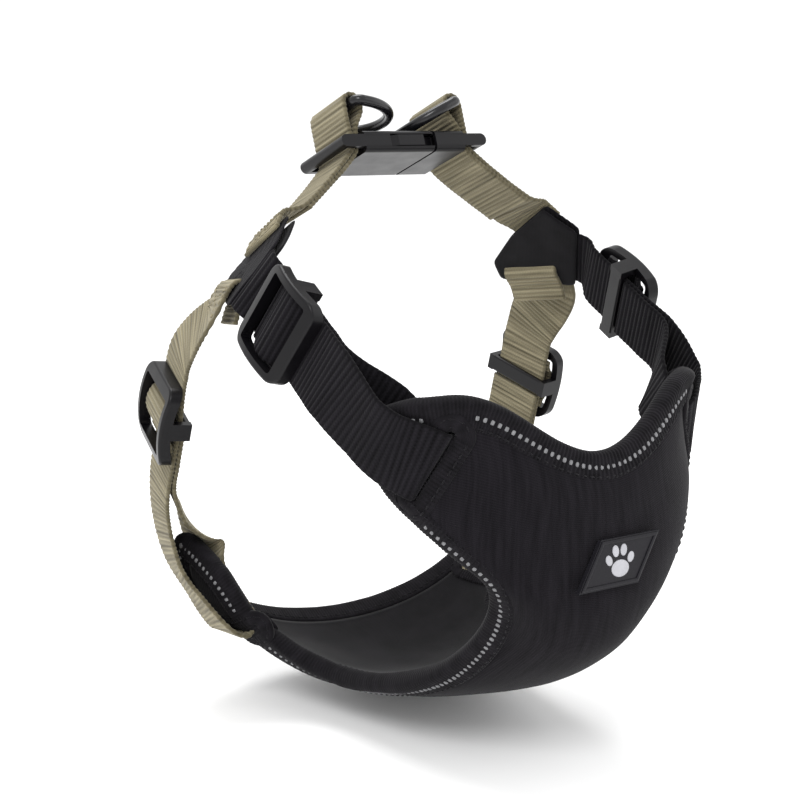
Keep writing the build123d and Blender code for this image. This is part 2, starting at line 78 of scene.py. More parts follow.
# Columns: station, centre Y and Z, edge X, Y and Z, wrap angle in degrees, shoulder rise.
PANEL_ROWS = np.array([
    (0.00, -117, 1, 64, -90, 21, 78, 13),
    (0.08, -121, -13, 66, -72, 6, 84, 7),
    (0.16, -123, -27, 61, -80, -11, 90, 3),
    (0.24, -124, -40, 50, -95, -27, 88, 1),
    (0.32, -123, -53, 39, -104, -39, 80, 0),
    (0.41, -117, -66, 34, -99, -53, 65, 0),
    (0.50, -103, -78, 34, -86, -69, 55, 0),
    (0.59, -82, -89, 37, -67, -84, 50, 0),
    (0.68, -56, -98, 40, -40, -95, 50, 0),
    (0.76, -28, -106, 45, -14, -97, 58, 0),
    (0.84, -3, -111, 56, 3, -84, 80, 0),
    (0.92, 21, -107, 69, 16, -60, 98, 0),
    (1.00, 45, -96, 73, 44, -46, 106, 0),
], float)
# Slots: side, station and lean in degrees, then length and depth in mm.
SHOULDER_SLOT = (0.65, 0.0935, 25.0)
SHOULDER_SLOT_SIZE = (26.6, 2.2)
GIRTH_SLOT = (0.60, 0.925, -15.0)
GIRTH_SLOT_SIZE = (26.6, 2.6)
BADGE_STATION = 0.205

STATIONS = PANEL_ROWS[:, 0]
ROW_SLOPES = np.empty_like(PANEL_ROWS)
for k in range(len(PANEL_ROWS)):
    before, after = max(k - 1, 0), min(k + 1, len(PANEL_ROWS) - 1)
    ROW_SLOPES[k] = (PANEL_ROWS[after] - PANEL_ROWS[before]) / (STATIONS[after] - STATIONS[before])


def normalised(v):
    return v / np.linalg.norm(v, axis=-1, keepdims=True)


def panel(side, station):
    """Points on the panel's outer face, in mm; side runs from -1 (dog's right) to 1."""
    side, station = np.broadcast_arrays(np.asarray(side, float), np.asarray(station, float))
    i = np.clip(np.searchsorted(STATIONS, station, side="right") - 1, 0, len(STATIONS) - 2)
    h = STATIONS[i + 1] - STATIONS[i]
    u = ((station - STATIONS[i]) / h)[..., None]
    ease = (3 - 2 * u) * u * u
    row = ((1 - ease) * PANEL_ROWS[i] + ease * PANEL_ROWS[i + 1]
           + h[..., None] * u * (1 - u) * ((1 - u) * ROW_SLOPES[i] - u * ROW_SLOPES[i + 1]))
    cy, cz, ex, ey, ez, wrap, rise = (row[..., k] for k in range(1, 8))
    wrap = np.radians(wrap)
    fold = (1 - np.cos(side * wrap)) / (1 - np.cos(wrap))
    x = ex * np.sin(side * wrap) / np.sin(wrap)
    lift = rise * np.sin(np.pi * side) ** 2
    return np.stack([x, cy + (ey - cy) * fold, cz + (ez - cz) * fold + lift], -1)


def panel_slopes(side, station):
    d = 0.004
    across = (panel(side + d, station) - panel(side - d, station)) / (2 * d)
    along = (panel(side, station + d) - panel(side, station - d)) / (2 * d)
    return across, along


def panel_normal(side, station):
    across, along = panel_slopes(side, station)
    return normalised(np.cross(along, across))


def arc_lengths(points):
    steps = np.linalg.norm(np.diff(points, axis=0), axis=1)
    return np.concatenate([[0.0], np.cumsum(steps)])


def on_line(at, lengths, values):
    """Values part of the way along a line of points, at the given distance or distances."""
    return np.stack([np.interp(at, lengths, values[:, c]) for c in range(3)], -1)


def closed(points):
    """A loop of points with its first point repeated at the end."""
    return np.vstack([points, points[:1]])


def half_width(station):
    """Half the panel's width round its curve at each station, in mm."""
    station = np.atleast_1d(station)
    sides = np.linspace(0, 1, 25)
    points = panel(sides[:, None], station[None, :])
    return np.linalg.norm(np.diff(points, axis=0), axis=2).sum(0)


PANEL_LENGTH = arc_lengths(panel(0.0, np.linspace(0, 1, 61)))[-1]

# ---------------------------------------------------------------- mesh helpers


def build(name, points, faces, material, uv=None, smooth=True):
    """Mesh object from points in mm; uv gives each vertex's place on the cloth, in mm."""
    mesh = bpy.data.meshes.new(name)
    mesh.from_pydata((np.asarray(points) * MM).tolist(), [], [list(map(int, f)) for f in faces])
    mesh.validate()
    if uv is not None:
        layer = mesh.uv_layers.new(name="UVMap")
        index = np.empty(len(mesh.loops), int)
        mesh.loops.foreach_get("vertex_index", index)
        layer.data.foreach_set("uv", np.asarray(uv, float)[index].ravel())
    if smooth:
        mesh.polygons.foreach_set("use_smooth", [True] * len(mesh.polygons))
    mesh.materials.append(material)
    obj = bpy.data.objects.new(name, mesh)
    bpy.context.scene.collection.objects.link(obj)
    return obj


def loft_faces(rows, columns, closed_rows=False, base=0):
    """Quads of a grid whose columns run round a closed section, with end caps."""
    faces = []
    last = rows if closed_rows else rows - 1
    for i in range(last):
        a, b = base + i * columns, base + ((i + 1) % rows) * columns
        for j in range(columns):
            k = (j + 1) % columns
            faces.append((a + j, a + k, b + k, b + j))
    if not closed_rows:
        top = base + (rows - 1) * columns
        faces.append(tuple(range(base, base + columns))[::-1])
        faces.append(tuple(range(top, top + columns)))
    return faces


def mirrored(obj, name):
    """A mirror image of obj across the dog's centre plane."""
    mesh = obj.data.copy()
    mesh.transform(Matrix.Scale(-1, 4, (1, 0, 0)))
    mesh.flip_normals()
    copy = bpy.data.objects.new(name, mesh)
    bpy.context.scene.collection.objects.link(copy)
    return copy


def place_pair(left, node_name, body=None, bend=None):
    """Mirrors a left piece and hides the CAD nodes both stand in for; ties both to their bodies, or, given
    a bend, only bakes their placement into their meshes.
    """
    base = left.name[:-len("_left")]
    right = mirrored(left, f"{base}_right")
    for piece, end in ((left, "left"), (right, "right")):
        if node_name:
            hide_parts(f"{node_name}_{end}")
        if bend:
            a, b, start, stop = bend
            sign = 1 if end == "left" else -1
            start = tuple(np.asarray(start) * (sign, 1, 1) * MM)
            stop = tuple(np.asarray(stop) * (sign, 1, 1) * MM)
            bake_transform(piece)
        else:
            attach(piece, body.replace("SIDE", end))


def smooth_path(points, across, step):
    """Even steps along a smooth curve through the points, with the strap's across direction."""
    points = np.asarray(points, float)
    across = np.asarray(across, float)
    ends = np.vstack([2 * points[0] - points[1], points, 2 * points[-1] - points[-2]])
    fine_points, fine_across = [], []
    for i in range(len(points) - 1):
        p0, p1, p2, p3 = ends[i:i + 4]
        d0, d1, d2 = (max(np.linalg.norm(b - a), 1e-6) ** 0.5
                      for a, b in ((p0, p1), (p1, p2), (p2, p3)))
        m1 = (p1 - p0) / d0 - (p2 - p0) / (d0 + d1) + (p2 - p1) / d1
        m2 = (p2 - p1) / d1 - (p3 - p1) / (d1 + d2) + (p3 - p2) / d2
        m1, m2 = m1 * d1, m2 * d1
        count = max(4, int(np.linalg.norm(p2 - p1) / 0.4))
        u = np.linspace(0, 1, count, endpoint=False)[:, None]
        fine_points.append((2 * u ** 3 - 3 * u ** 2 + 1) * p1 + (u ** 3 - 2 * u ** 2 + u) * m1
                           + (-2 * u ** 3 + 3 * u ** 2) * p2 + (u ** 3 - u ** 2) * m2)
        fine_across.append((1 - u) * across[i] + u * across[i + 1])
    fine_points = np.vstack(fine_points + [points[-1:]])
    fine_across = np.vstack(fine_across + [across[-1:]])
    length = arc_lengths(fine_points)
    places = np.linspace(0, length[-1], int(length[-1] / step) + 1)
    path = on_line(places, length, fine_points)
    turn = on_line(places, length, fine_across)
    along = normalised(np.gradient(path, axis=0))
    turn = normalised(turn - (turn * along).sum(1, keepdims=True) * along)
    return path, along, turn, np.cross(turn, along), places


def strap_section(width, thickness):
    """Closed section of a webbing strap: flat faces and full round edges."""
    flat = width / 2 - thickness / 2
    points = []
    for sign in (1, -1):
        for x in np.linspace(-flat, flat, 11):
            points.append((sign * x, sign * thickness / 2))
        for angle in (60, 30, 0, -30, -60):
            a = math.radians(angle)
            points.append((sign * (flat + math.cos(a) * thickness / 2),
                           sign * math.sin(a) * thickness / 2))
    return np.array(points)


def strap(name, stations, material, rib, width=WEB, thickness=PLY, seed=0, waviness=0.25):
    """Webbing along its stations, with woven ribs and slightly uneven edges."""
    points, across = zip(*stations)
    path, _, turn, normal, places = smooth_path(points, across, rib / 6)
    section = strap_section(width, thickness)
    rng = np.random.default_rng(seed)
    phases = rng.uniform(0, 2 * math.pi, 4)
    wave = waviness * (np.sin(places / 17 + phases[0]) + 0.6 * np.sin(places / 9.1 + phases[1])) * 0.5
    fade = np.clip(np.minimum(places, places[-1] - places) / 12, 0, 1)
    wave = wave * fade
    edge = 0.12 * np.sin(places / 5.3 + phases[2]) + 0.08 * np.sin(places / 1.7 + phases[3])
    a = section[None, :, 0] * (1 + edge[:, None] / width)
    ribs = 0.14 * np.sin(2 * math.pi * places[:, None] / rib)
    b = section[None, :, 1] * (1 + ribs / (thickness / 2)) + wave[:, None]
    points = path[:, None, :] + a[..., None] * turn[:, None, :] + b[..., None] * normal[:, None, :]
    uv = np.stack(np.broadcast_arrays(places[:, None], section[None, :, 0]), -1)
    rows, columns = points.shape[:2]
    return build(name, points.reshape(-1, 3), loft_faces(rows, columns), material,
                 uv.reshape(-1, 2))


# Columns: place along the stitch, share of its radius, and rise in radii.
STITCH_PROFILE = (
    (0.0, 0.35, -0.5), (0.18, 0.85, 0.05), (0.5, 1.0, 0.35), (0.82, 0.85, 0.05), (1.0, 0.35, -0.5),
)


def stitches(name, lines, material, length=2.3, gap=0.9, radius=0.28):
    """Rows of sewn stitches; each line is (points, normals) in mm."""
    verts, faces, uv = [], [], []
    ring = [(math.cos(k * math.pi / 3), math.sin(k * math.pi / 3)) for k in range(6)]
    for points, normals in lines:
        points, normals = np.asarray(points, float), np.asarray(normals, float)
        length_along = arc_lengths(points)
        count = int(length_along[-1] / (length + gap))
        for k in range(max(count, 1)):
            start = k * (length + gap)
            at = [start, start + length / 2, start + length]
            p = on_line(at, length_along, points)
            n = on_line(at[1], length_along, normals)
            t = normalised(p[2] - p[0] + 1e-9)
            n = normalised(n - t * (n @ t))
            s = np.cross(n, t)
            base = len(verts)
            for u, r, lift in STITCH_PROFILE:
                centre = p[0] + (p[2] - p[0]) * u + n * lift * radius
                for cx, cz in ring:
                    verts.append(centre + radius * r * (cx * s + cz * n))
                    uv.append((start + u * length, cx))
            faces += loft_faces(len(STITCH_PROFILE), len(ring), base=base)
    return build(name, verts, faces, material, uv)


# ---------------------------------------------------------------- materials


def node(tree, kind, settings=(), **inputs):
    """Adds a node; each input is a value or another node's output."""
    made = tree.nodes.new(kind)
    for key, value in dict(settings).items():
        setattr(made, key, value)
    for key, value in inputs.items():
        socket = made.inputs[int(key[1:])] if key[0] == "i" and key[1:].isdigit() else made.inputs[key]
        if isinstance(value, bpy.types.NodeSocket):
            tree.links.new(value, socket)
        else:
            socket.default_value = value
    return made


def maths(tree, operation, a, b=0.0):
    return node(tree, "ShaderNodeMath", {"operation": operation}, i0=a, i1=b).outputs[0]


def blank(name, roughness, **values):
    """New material with its Principled shader's plain values set."""
    made = bpy.data.materials.new(name)
    made.use_nodes = True
    shader = made.node_tree.nodes["Principled BSDF"]
    shader.inputs["Roughness"].default_value = roughness
    for key, value in values.items():
        shader.inputs[key.replace("_", " ")].default_value = value
    return made, made.node_tree, shader


def mix_colour(tree, factor, a, b):
    made = tree.nodes.new("ShaderNodeMix")
    made.data_type = "RGBA"
    for socket, value in ((made.inputs[0], factor), (made.inputs[6], a), (made.inputs[7], b)):
        if isinstance(value, bpy.types.NodeSocket):
            tree.links.new(value, socket)
        else:
            socket.default_value = value
    return made.outputs[2]


def ramp(tree, value, low, high):
    limits = {"From Min": low, "From Max": high}
    return node(tree, "ShaderNodeMapRange", {}, Value=value, **limits).outputs[0]


def cloth(name, dark, light, rib, thread, streak=(0.03, 0.5), roughness=0.85, sheen=0.1,
          bump=0.35, depth=0.25, contrast=0.55, edge=None):
    """Woven cloth. rib and thread are the weave's pitch along and across, in mm."""
    made, tree, shader = blank(name, roughness, Sheen_Weight=sheen, Sheen_Roughness=0.45,
                               Specular_IOR_Level=0.06)
    place = node(tree, "ShaderNodeUVMap").outputs[0]
    split = node(tree, "ShaderNodeSeparateXYZ", {}, Vector=place)
    u, v = split.outputs[0], split.outputs[1]
    ribs = maths(tree, "SINE", maths(tree, "MULTIPLY", u, 2 * math.pi / rib))
    threads = maths(tree, "SINE", maths(tree, "MULTIPLY", v, 2 * math.pi / thread))
    threads = maths(tree, "ADD", maths(tree, "MULTIPLY", threads, 0.35), 0.65)
    weave = maths(tree, "MULTIPLY", ribs, threads)
    weave = maths(tree, "ADD", maths(tree, "MULTIPLY", weave, 0.5), 0.5)
    fine = node(tree, "ShaderNodeTexNoise", {}, Vector=place, Scale=2.4, Detail=5.0, Roughness=0.65)
    stretch = node(tree, "ShaderNodeMapping", {}, Vector=place, Scale=(streak[1], streak[0], 1.0))
    streaks = node(tree, "ShaderNodeTexNoise", {}, Vector=stretch.outputs[0], Scale=1.0, Detail=4.0,
                   Roughness=0.6)
    streak_shade = ramp(tree, streaks.outputs[0], 0.34, 0.66)
    shade = maths(tree, "ADD", maths(tree, "MULTIPLY", weave, 1 - contrast),
                  maths(tree, "MULTIPLY", streak_shade, contrast))
    shade = maths(tree, "MULTIPLY", shade, ramp(tree, fine.outputs[0], -0.3, 0.62))
    if edge:
        # darker towards the webbing's edges: over the last 1.1 mm the colour falls to 0.3 of its tone
        edge_darkening = ramp(tree, maths(tree, "ABSOLUTE", v), edge, edge - 1.1)
        edge_darkening = maths(tree, "ADD", maths(tree, "MULTIPLY", edge_darkening, 0.7), 0.3)
        shade = maths(tree, "MULTIPLY", shade, edge_darkening)
    tree.links.new(mix_colour(tree, shade, (*dark, 1), (*light, 1)), shader.inputs["Base Color"])
    height = maths(tree, "ADD", weave, maths(tree, "MULTIPLY", fine.outputs[0], 0.8))
    raised = node(tree, "ShaderNodeBump", {}, Strength=bump, Distance=depth * MM, Height=height)
    tree.links.new(raised.outputs[0], shader.inputs["Normal"])
    return made


def plastic(name, colour, roughness, coat=0.0):
    """Moulded plastic: faint mottling, fine texture and a worn sheen."""
    made, tree, shader = blank(name, roughness, Specular_IOR_Level=0.22, Coat_Weight=coat,
                               Coat_Roughness=0.2)
    place = node(tree, "ShaderNodeTexCoord").outputs["Object"]
    mottle = node(tree, "ShaderNodeTexNoise", {}, Vector=place, Scale=160.0, Detail=5.0)
    grain = node(tree, "ShaderNodeTexNoise", {}, Vector=place, Scale=2600.0, Detail=3.0)
    lighter = tuple(c * 1.7 for c in colour)
    mixed = mix_colour(tree, mottle.outputs[0], (*colour, 1), (*lighter, 1))
    tree.links.new(mixed, shader.inputs["Base Color"])
    rough = node(tree, "ShaderNodeMapRange", {}, Value=mottle.outputs[0],
                 **{"To Min": roughness - 0.08, "To Max": roughness + 0.1})
    tree.links.new(rough.outputs[0], shader.inputs["Roughness"])
    raised = node(tree, "ShaderNodeBump", {}, Strength=0.25, Distance=0.05 * MM, Height=grain.outputs[0])
    tree.links.new(raised.outputs[0], shader.inputs["Normal"])
    return made


webbing_tan = cloth("webbing_tan", (0.055, 0.047, 0.028), (0.40, 0.355, 0.235), rib=TAN_RIB, thread=1.25,
                    streak=(0.015, 0.42), sheen=0.15, bump=0.6, contrast=0.6, edge=WEB / 2)
BLACK_WEAVE = {"dark": (0.0022, 0.002, 0.0025), "light": (0.0165, 0.015, 0.0185), "rib": BLACK_RIB,
               "thread": 1.25, "streak": (0.05, 0.4), "sheen": 0.05, "bump": 0.8, "contrast": 0.35}
webbing_black = cloth("webbing_black", **BLACK_WEAVE, edge=WEB / 2)
oxford = cloth("oxford", (0.0035, 0.003, 0.004), (0.0135, 0.012, 0.015), rib=0.9, thread=0.8,
               streak=(0.5, 0.04), sheen=0.06, bump=0.35)
lining = cloth("lining", (0.0035, 0.0035, 0.004), (0.011, 0.010, 0.012), rib=0.6, thread=0.6,
               streak=(0.1, 0.1), sheen=0.12, bump=0.15)
tape = cloth("binding_tape", (0.003, 0.0028, 0.0033), (0.0145, 0.013, 0.016), rib=1.3, thread=0.7,
             streak=(0.2, 0.2), sheen=0.06, bump=0.45)
foam = cloth("padding_foam", (0.02, 0.02, 0.022), (0.06, 0.06, 0.065), rib=2.0, thread=2.0)
reflective = cloth("reflective_thread", (0.10, 0.10, 0.105), (0.30, 0.30, 0.31), rib=0.7, thread=0.5,
                   roughness=0.45)
black_thread = cloth("black_thread", (0.004, 0.0035, 0.0045), (0.016, 0.0145, 0.018), rib=0.5,
                     thread=0.5, roughness=0.7)
patch_weave = cloth("patch_weave", **BLACK_WEAVE)
tan_thread = cloth("tan_thread", (0.14, 0.12, 0.075), (0.42, 0.37, 0.25), rib=0.5, thread=0.5,
                   roughness=0.6)
acetal = plastic("acetal", (0.0028, 0.0025, 0.0032), 0.32)
gloss_metal = plastic("gloss_metal", (0.004, 0.004, 0.005), 0.2, coat=0.35)
badge_rubber = plastic("badge_rubber", (0.006, 0.0055, 0.0075), 0.5)
badge_print = plastic("badge_print", (0.30, 0.30, 0.32), 0.5)

# ---------------------------------------------------------------- chest panel cloth


def slot_frame(slot):
    """A slot's centre, the ways across it and along it towards the neck, and its normal."""
    side, station, lean = slot
    normal = panel_normal(side, station)
    out = panel(side + 0.01, station) - panel(side - 0.01, station)
    out = normalised(out - normal * (out @ normal))
    front = np.cross(normal, out)
    turn = math.radians(lean)
    across = math.cos(turn) * out + math.sin(turn) * front
    along = math.cos(turn) * front - math.sin(turn) * out
    return panel(side, station), across, along, normal


def slot_distance(points, slot, size):
    """How far points lie outside a slot's rounded outline, in its own plane, in mm."""
    origin, out, along, normal = slot_frame(slot)
    points = np.array(points)
    points[..., 0] = np.abs(points[..., 0])
    local = points - origin
    length, depth = size
    radius = depth / 2 - 0.2
    x = np.abs(local @ out) - (depth / 2 - radius)
    y = np.abs(local @ along) - (length / 2 - radius)
    outside = np.hypot(np.maximum(x, 0), np.maximum(y, 0))
    away = np.abs(local @ normal) > 25
    return np.where(away, 99.0, outside + np.minimum(np.maximum(x, y), 0) - radius)


def near_slots(points):
    """Distance in mm from the nearest strap slot."""
    return np.minimum(slot_distance(points, SHOULDER_SLOT, SHOULDER_SLOT_SIZE),
                      slot_distance(points, GIRTH_SLOT, GIRTH_SLOT_SIZE))


def edge_distance(side, station, widths):
    """Distance in mm from the panel's nearest edge."""
    across = (1 - np.abs(side)) * widths
    ends = np.minimum(station, 1 - station) * PANEL_LENGTH * 1.15
    return np.minimum(across, ends)


def soft_noise(points, size, seed):
    """Smooth pseudo-random field from a few waves, between about -1 and 1."""
    rng = np.random.default_rng(seed)
    total = 0.0
    for k in range(7):
        direction = rng.normal(size=3)
        direction /= np.linalg.norm(direction)
        wave = size * rng.uniform(0.6, 1.6)
        total = total + np.sin(points @ direction * 2 * math.pi / wave + rng.uniform(0, 6.28))
    return total / 3.5


def cloth_layer(name, material, trim, top, bottom, crown, crown_below, seed):
    """Closed layer of the chest panel between two depths, crowned between its seams."""
    rows, columns = 190, 170
    stations = np.linspace(trim / PANEL_LENGTH, 1 - trim / PANEL_LENGTH, rows)
    widths = half_width(stations)
    limit = 1 - trim / widths
    side = np.linspace(-1, 1, columns)[None, :] * limit[:, None]
    station = np.repeat(stations[:, None], columns, 1)
    surface = panel(side, station)
    normal = panel_normal(side, station)
    seam = edge_distance(side, station, widths[:, None]) - BINDING
    near_slot = near_slots(surface)
    seam = np.minimum(seam, near_slot - SLOT_EDGING)
    puff = np.where(seam > 0, 1 - np.exp(-np.maximum(seam, 0) / 7.0), 0.0)
    ripple = soft_noise(surface, 46, seed) * 0.55 + soft_noise(surface, 19, seed + 1) * 0.16
    upper = surface + normal * (-top + puff * (crown + crown * 0.45 * ripple))[..., None]
    lower = surface + normal * (-bottom - puff * (crown_below + crown_below * 0.45 * ripple))[..., None]
    uv = np.stack([station * PANEL_LENGTH, side * widths[:, None]], -1)

    kept = near_slot > -0.6
    index = np.arange(rows * columns).reshape(rows, columns)
    count = rows * columns
    whole = kept[:-1, :-1] & kept[1:, :-1] & kept[:-1, 1:] & kept[1:, 1:]
    faces, border = [], {}
    for i, j in np.argwhere(whole):
        a, b, c, d = index[i, j], index[i, j + 1], index[i + 1, j + 1], index[i + 1, j]
        faces.append((a, b, c, d))
        faces.append((d + count, c + count, b + count, a + count))
        for edge in ((a, b), (b, c), (c, d), (d, a)):
            if (edge[1], edge[0]) in border:
                del border[(edge[1], edge[0])]
            else:
                border[edge] = True
    for a, b in border:
        faces.append((b, a, a + count, b + count))
    points = np.concatenate([upper.reshape(-1, 3), lower.reshape(-1, 3)])
    used = np.zeros(2 * count, bool)
    for face in faces:
        used[list(face)] = True
    renumber = np.cumsum(used) - 1
    faces = [[renumber[k] for k in face] for face in faces]
    both_uv = np.concatenate([uv.reshape(-1, 2)] * 2)[used]
    return build(name, points[used], faces, material, both_uv)


outer = cloth_layer("chest_outer", oxford, 7.0, 0.0, 1.1, 0.9, -0.9, 3)
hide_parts("chest_panel_outer")
padding = cloth_layer("chest_padding_foam", foam, 7.6, 1.2, 4.3, 0.75, 0.75, 3)
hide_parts("chest_padding")
inner = cloth_layer("chest_lining_cloth", lining, 7.0, 4.6, 5.5, -1.0, 1.1, 3)
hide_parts("chest_lining")

# ---------------------------------------------------------------- edge binding


def edge_loop(step, corner):
    """The panel's outline with rounded corners, as (side, station), in even steps of step mm."""
    sides, stations = [], []
    steps = 12
    spots = []
    for side, station, sweep in ((1, 0, -90), (1, 1, 0), (-1, 1, 90), (-1, 0, 180)):
        width = half_width(station)[0]
        inside = 0.04 if station == 0 else 0.96
        edge = panel(1.0, inside) - panel(1.0, float(station))
        run = np.linalg.norm(edge) / 0.04
        radius_side, radius_station = corner / width, corner / run
        centre = (side - math.copysign(radius_side, side),
                  station + (radius_station if station == 0 else -radius_station))
        for k in range(steps + 1):
            angle = math.radians(sweep + 90 * k / steps)
            spots.append((centre[0] + radius_side * math.cos(angle),
                          centre[1] + radius_station * math.sin(angle)))
    spots.append(spots[0])
    for (s0, t0), (s1, t1) in zip(spots, spots[1:]):
        count = max(2, int(max(abs(s1 - s0), abs(t1 - t0)) * 400))
        share = np.linspace(0, 1, count, endpoint=False)
        sides.append(s0 + (s1 - s0) * share)
        stations.append(t0 + (t1 - t0) * share)
    sides = np.append(np.concatenate(sides), sides[0][0])
    stations = np.append(np.concatenate(stations), stations[0][0])
    length = arc_lengths(panel(sides, stations))
    places = np.arange(0, length[-1] - step / 2, step)
    return np.interp(places, length, sides), np.interp(places, length, stations), places


def shifted(sides, stations, move):
    """Sides and stations of points after a small move, in mm, along the panel."""
    across, along = panel_slopes(sides, stations)
    a, b, c = (across * across).sum(-1), (across * along).sum(-1), (along * along).sum(-1)
    e, f = (move * across).sum(-1), (move * along).sum(-1)
    scale = a * c - b * b
    return sides + (c * e - b * f) / scale, stations + (a * f - b * e) / scale


def slot_loop(slot, size, step):
    """A slot's outline on the panel, as (side, station)."""
    length, depth = size
    radius = depth / 2 - 0.2
    side, station = slot[:2]
    origin, out, up, normal = slot_frame(slot)
    spots = []
    for cx, cy, start in ((1, -1, -90), (1, 1, 0), (-1, 1, 90), (-1, -1, 180)):
        for k in range(9):
            angle = math.radians(start + 90 * k / 8)
            x = cx * (depth / 2 - radius) + radius * math.cos(angle)
            y = cy * (length / 2 - radius) + radius * math.sin(angle)
            spots.append((x, y))
    spots.append(spots[0])
    spots = np.array(spots)
    distance = np.concatenate([[0], np.cumsum(np.hypot(*np.diff(spots, axis=0).T))])
    places = np.arange(0, distance[-1] - step / 2, step)
    x = np.interp(places, distance, spots[:, 0])
    y = np.interp(places, distance, spots[:, 1])
    target = origin + x[:, None] * out + y[:, None] * up
    sides, stations = np.full(len(x), side), np.full(len(x), station)
    for _ in range(6):
        gap = target - panel(sides, stations)
        gap = gap - (gap @ normal)[:, None] * normal
        sides, stations = shifted(sides, stations, gap)
    return sides, stations, places


def walk_in(sides, stations, reach, sign):
    """Parameters of points further and further from a loop, along the cloth."""
    points = panel(sides, stations)
    tangent = normalised(np.roll(points, -1, 0) - np.roll(points, 1, 0))
    steps = int(reach / TRACK_STEP)
    track = [(sides, stations)]
    for _ in range(steps):
        across, along = panel_slopes(sides, stations)
        normal = normalised(np.cross(along, across))
        inward = normalised(np.cross(normal, tangent)) * sign * TRACK_STEP
        sides, stations = shifted(sides, stations, inward)
        track.append((sides, stations))
    return track


def on_track(track, distance):
    """Points and normals at a distance from the loop, in mm."""
    k = min(int(distance / TRACK_STEP), len(track) - 2)
    share = distance / TRACK_STEP - k
    sides = track[k][0] * (1 - share) + track[k + 1][0] * share
    stations = track[k][1] * (1 - share) + track[k + 1][1] * share
    return panel(sides, stations), panel_normal(sides, stations)


def folded_tape(name, loop, sign, section, rib, seed):
    """Tape folded over an edge: section lists (distance from the edge, height)."""
    sides, stations, places = loop
    reach = max(d for d, h in section)
    track = walk_in(sides, stations, reach + 0.5, sign)
    rows, uv = [], []
    count = len(section)
    middle = (max(h for d, h in section) + min(h for d, h in section)) / 2
    total = places[-1] + places[1]
    ribs = np.sin(2 * math.pi * places * round(total / rib) / total)
    for distance, height in section:
        point, normal = on_track(track, distance)
        wobble = 0.18 * soft_noise(point, 23, seed) + 0.10 * soft_noise(point, 9, seed + 5)
        lift = 0.11 * ribs + wobble if height > middle else -0.11 * ribs - 0.5 * wobble
        rows.append(point + normal * (height + lift)[:, None])
        uv.append(np.stack([places, np.full(len(places), distance)], -1))
    points = np.stack(rows, 1)
    uv = np.stack(uv, 1)
    faces = loft_faces(len(places), count, closed_rows=True)
    return build(name, points.reshape(-1, 3), faces, tape, uv.reshape(-1, 2)), track


def fold_section(width, width_below, proud, groove):
    """Section of a folded tape: over the outer face, round the edge, under the inner face."""
    bottom = -PANEL_THICKNESS
    radius = PANEL_THICKNESS / 2 + proud
    section = [
        (width, 0.05), (width - 0.5, proud * 0.9), (width - 1.6, proud),
        (groove + 1.3, proud), (groove, proud * 0.72), (groove - 1.3, proud), (3.2, proud),
    ]
    for angle in range(75, -76, -25):
        a = math.radians(angle)
        section.append((2.4 - 2.4 * math.cos(a), bottom / 2 + radius * math.sin(a)))
    section += [
        (3.2, bottom - proud), (width_below * 0.6, bottom - proud), (width_below - 1.2, bottom - proud),
        (width_below - 0.4, bottom - proud * 0.8), (width_below, bottom - 0.05),
        (width_below, bottom + 0.5), (4.0, bottom + 1.6), (2.6, bottom / 2), (4.0, -1.5), (width, -0.6),
    ]
    return section


edge = edge_loop(0.26, 12.0)
edge_section = fold_section(BINDING, 9.6, 0.75, 5.8)
binding, edge_track = folded_tape("edge_binding", edge, -1, edge_section, 1.3, 11)
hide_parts("neck_binding", "tail_binding", "armhole_binding_left", "armhole_binding_right")
for piece in (outer, padding, inner, binding):
    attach(piece, "harness")

# ---------------------------------------------------------------- strap slots' edging


def slot_edging(name, slot, size, seed):
    loop = slot_loop(slot, size, 0.26)
    bottom = -PANEL_THICKNESS - 0.9
    section = [(SLOT_EDGING, 0.1), (SLOT_EDGING - 0.5, 0.85), (SLOT_EDGING - 1.4, 1.0),
               (SLOT_EDGING - 2.2, 0.75), (3.6, 1.0), (2.0, 0.95), (0.8, 0.6), (0.15, -0.2),
               (0.0, -1.2), (0.0, -3.8), (0.15, bottom + 0.6), (0.8, bottom + 0.1), (2.0, bottom - 0.1),
               (4.4, bottom - 0.1), (5.2, bottom + 0.2), (5.4, bottom + 0.8), (4.0, -4.7), (2.0, -3.0),
               (4.0, -1.2), (SLOT_EDGING, -0.8)]
    return folded_tape(name, loop, -1, section, 1.3, seed)


for strap_name, slot, size, seed in (("shoulder", SHOULDER_SLOT, SHOULDER_SLOT_SIZE, 21),
                                     ("girth", GIRTH_SLOT, GIRTH_SLOT_SIZE, 22)):
    left, track = slot_edging(f"{strap_name}_slot_tape_left", slot, size, seed)
    points, normals = on_track(track, SLOT_EDGING - 1.9)
    normals = closed(normals)
    line = (closed(points) + normals * SLOT_SEAM_RISE, normals)
    sewn = stitches(f"{strap_name}_slot_stitches_left", [line], black_thread)
    place_pair(left, f"{strap_name}_slot_edging", "harness")
    place_pair(sewn, None, "harness")

# ---------------------------------------------------------------- reflective dashes on the binding


